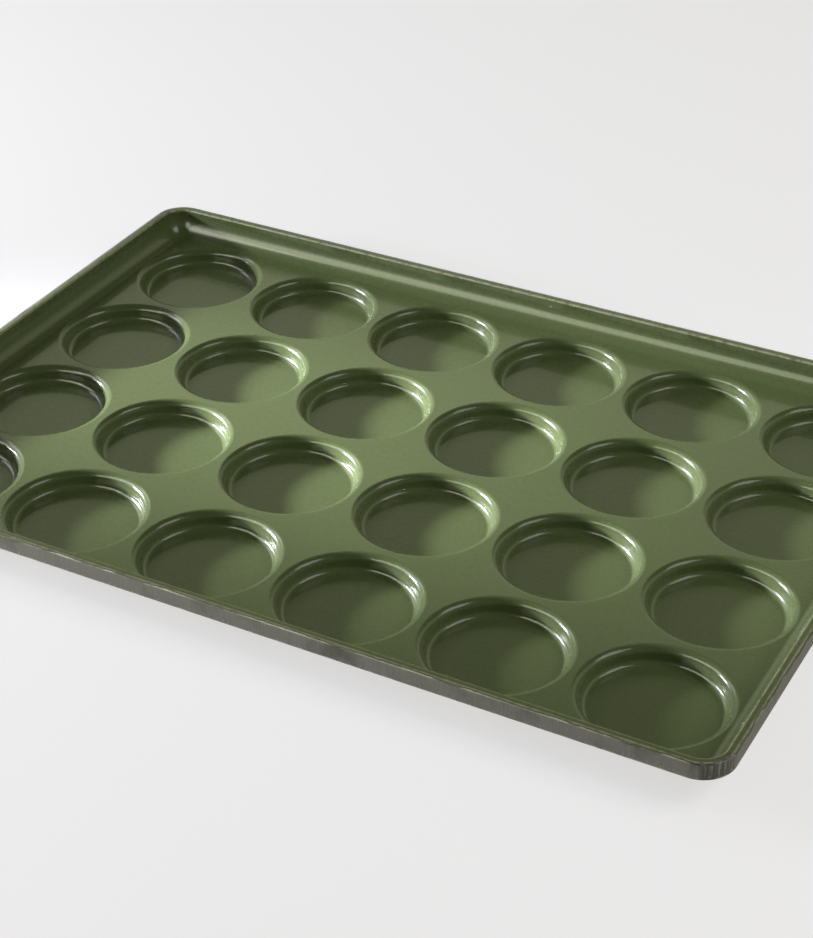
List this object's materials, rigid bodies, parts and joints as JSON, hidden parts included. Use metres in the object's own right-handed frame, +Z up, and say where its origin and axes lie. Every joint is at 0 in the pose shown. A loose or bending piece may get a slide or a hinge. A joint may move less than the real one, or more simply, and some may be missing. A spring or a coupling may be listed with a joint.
{
  "type": "bun tray",
  "caption": "Rectangular baking tray with a grid of shallow round cups, a low side wall and a folded rim with a hanging skirt, made from one sheet.",
  "frame": {"origin": "middle of the tray, on the plane that the undersides of the cups stand on", "axes": "+X along the long side, +Y along the short side to the back, +Z up out of the cups"},
  "size_m": [0.6606, 0.4516, 0.0328],
  "materials": {
    "tray": "olive green non-stick coating, semi-gloss, over aluminised steel that shows bare and worn on the outer skirt"
  },
  "bodies": {
    "root": {"tray": "tray"}
  },
  "joints": []
}
